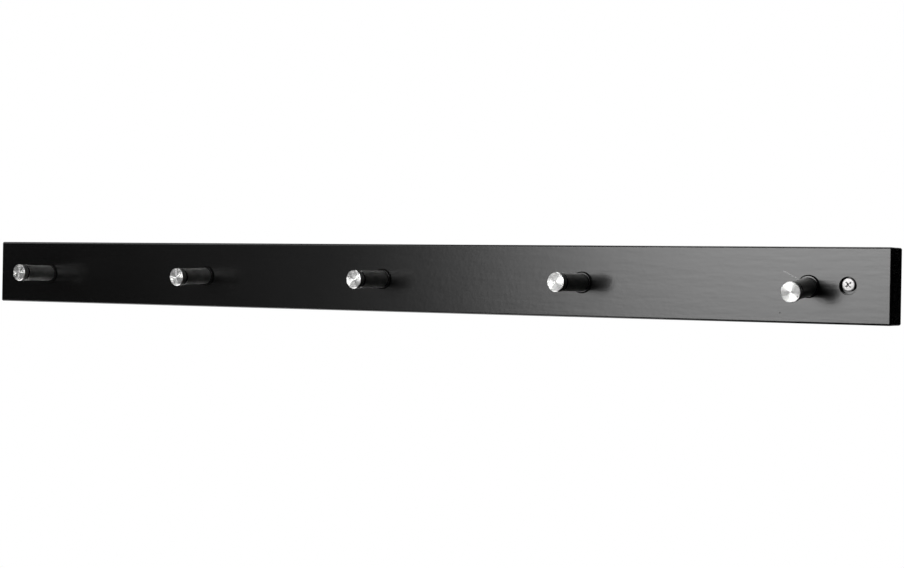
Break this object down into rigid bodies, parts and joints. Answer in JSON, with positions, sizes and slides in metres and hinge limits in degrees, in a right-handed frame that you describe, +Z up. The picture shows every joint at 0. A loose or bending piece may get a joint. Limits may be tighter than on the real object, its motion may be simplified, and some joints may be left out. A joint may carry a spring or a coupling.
{
  "type": "coat hook rail",
  "caption": "Wall rail for coats: a long black lacquered board with a row of grooved turned steel pegs and a counterbored wall screw near each end.",
  "frame": {"origin": "centre of the board's back face, on the wall", "axes": "+X along the rail, to the right as seen from the front; +Y into the wall; +Z up; the pegs stand out towards -Y"},
  "size_m": [0.7, 0.0766, 0.045],
  "materials": {
    "black_lacquer": "satin black lacquer on fibreboard",
    "turned_steel": "turned, with circular-brushed faces",
    "black_washer": "matt black",
    "plated_screw": "bright zinc plated"
  },
  "bodies": {
    "root": {"rail_board": "black_lacquer", "peg_1": "turned_steel", "peg_2": "turned_steel", "peg_3": "turned_steel", "peg_4": "turned_steel", "peg_5": "turned_steel", "peg_washer_1": "black_washer", "peg_washer_2": "black_washer", "peg_washer_3": "black_washer", "peg_washer_4": "black_washer", "peg_washer_5": "black_washer", "peg_screws": "plated_screw", "wall_screws": "plated_screw"}
  },
  "joints": []
}
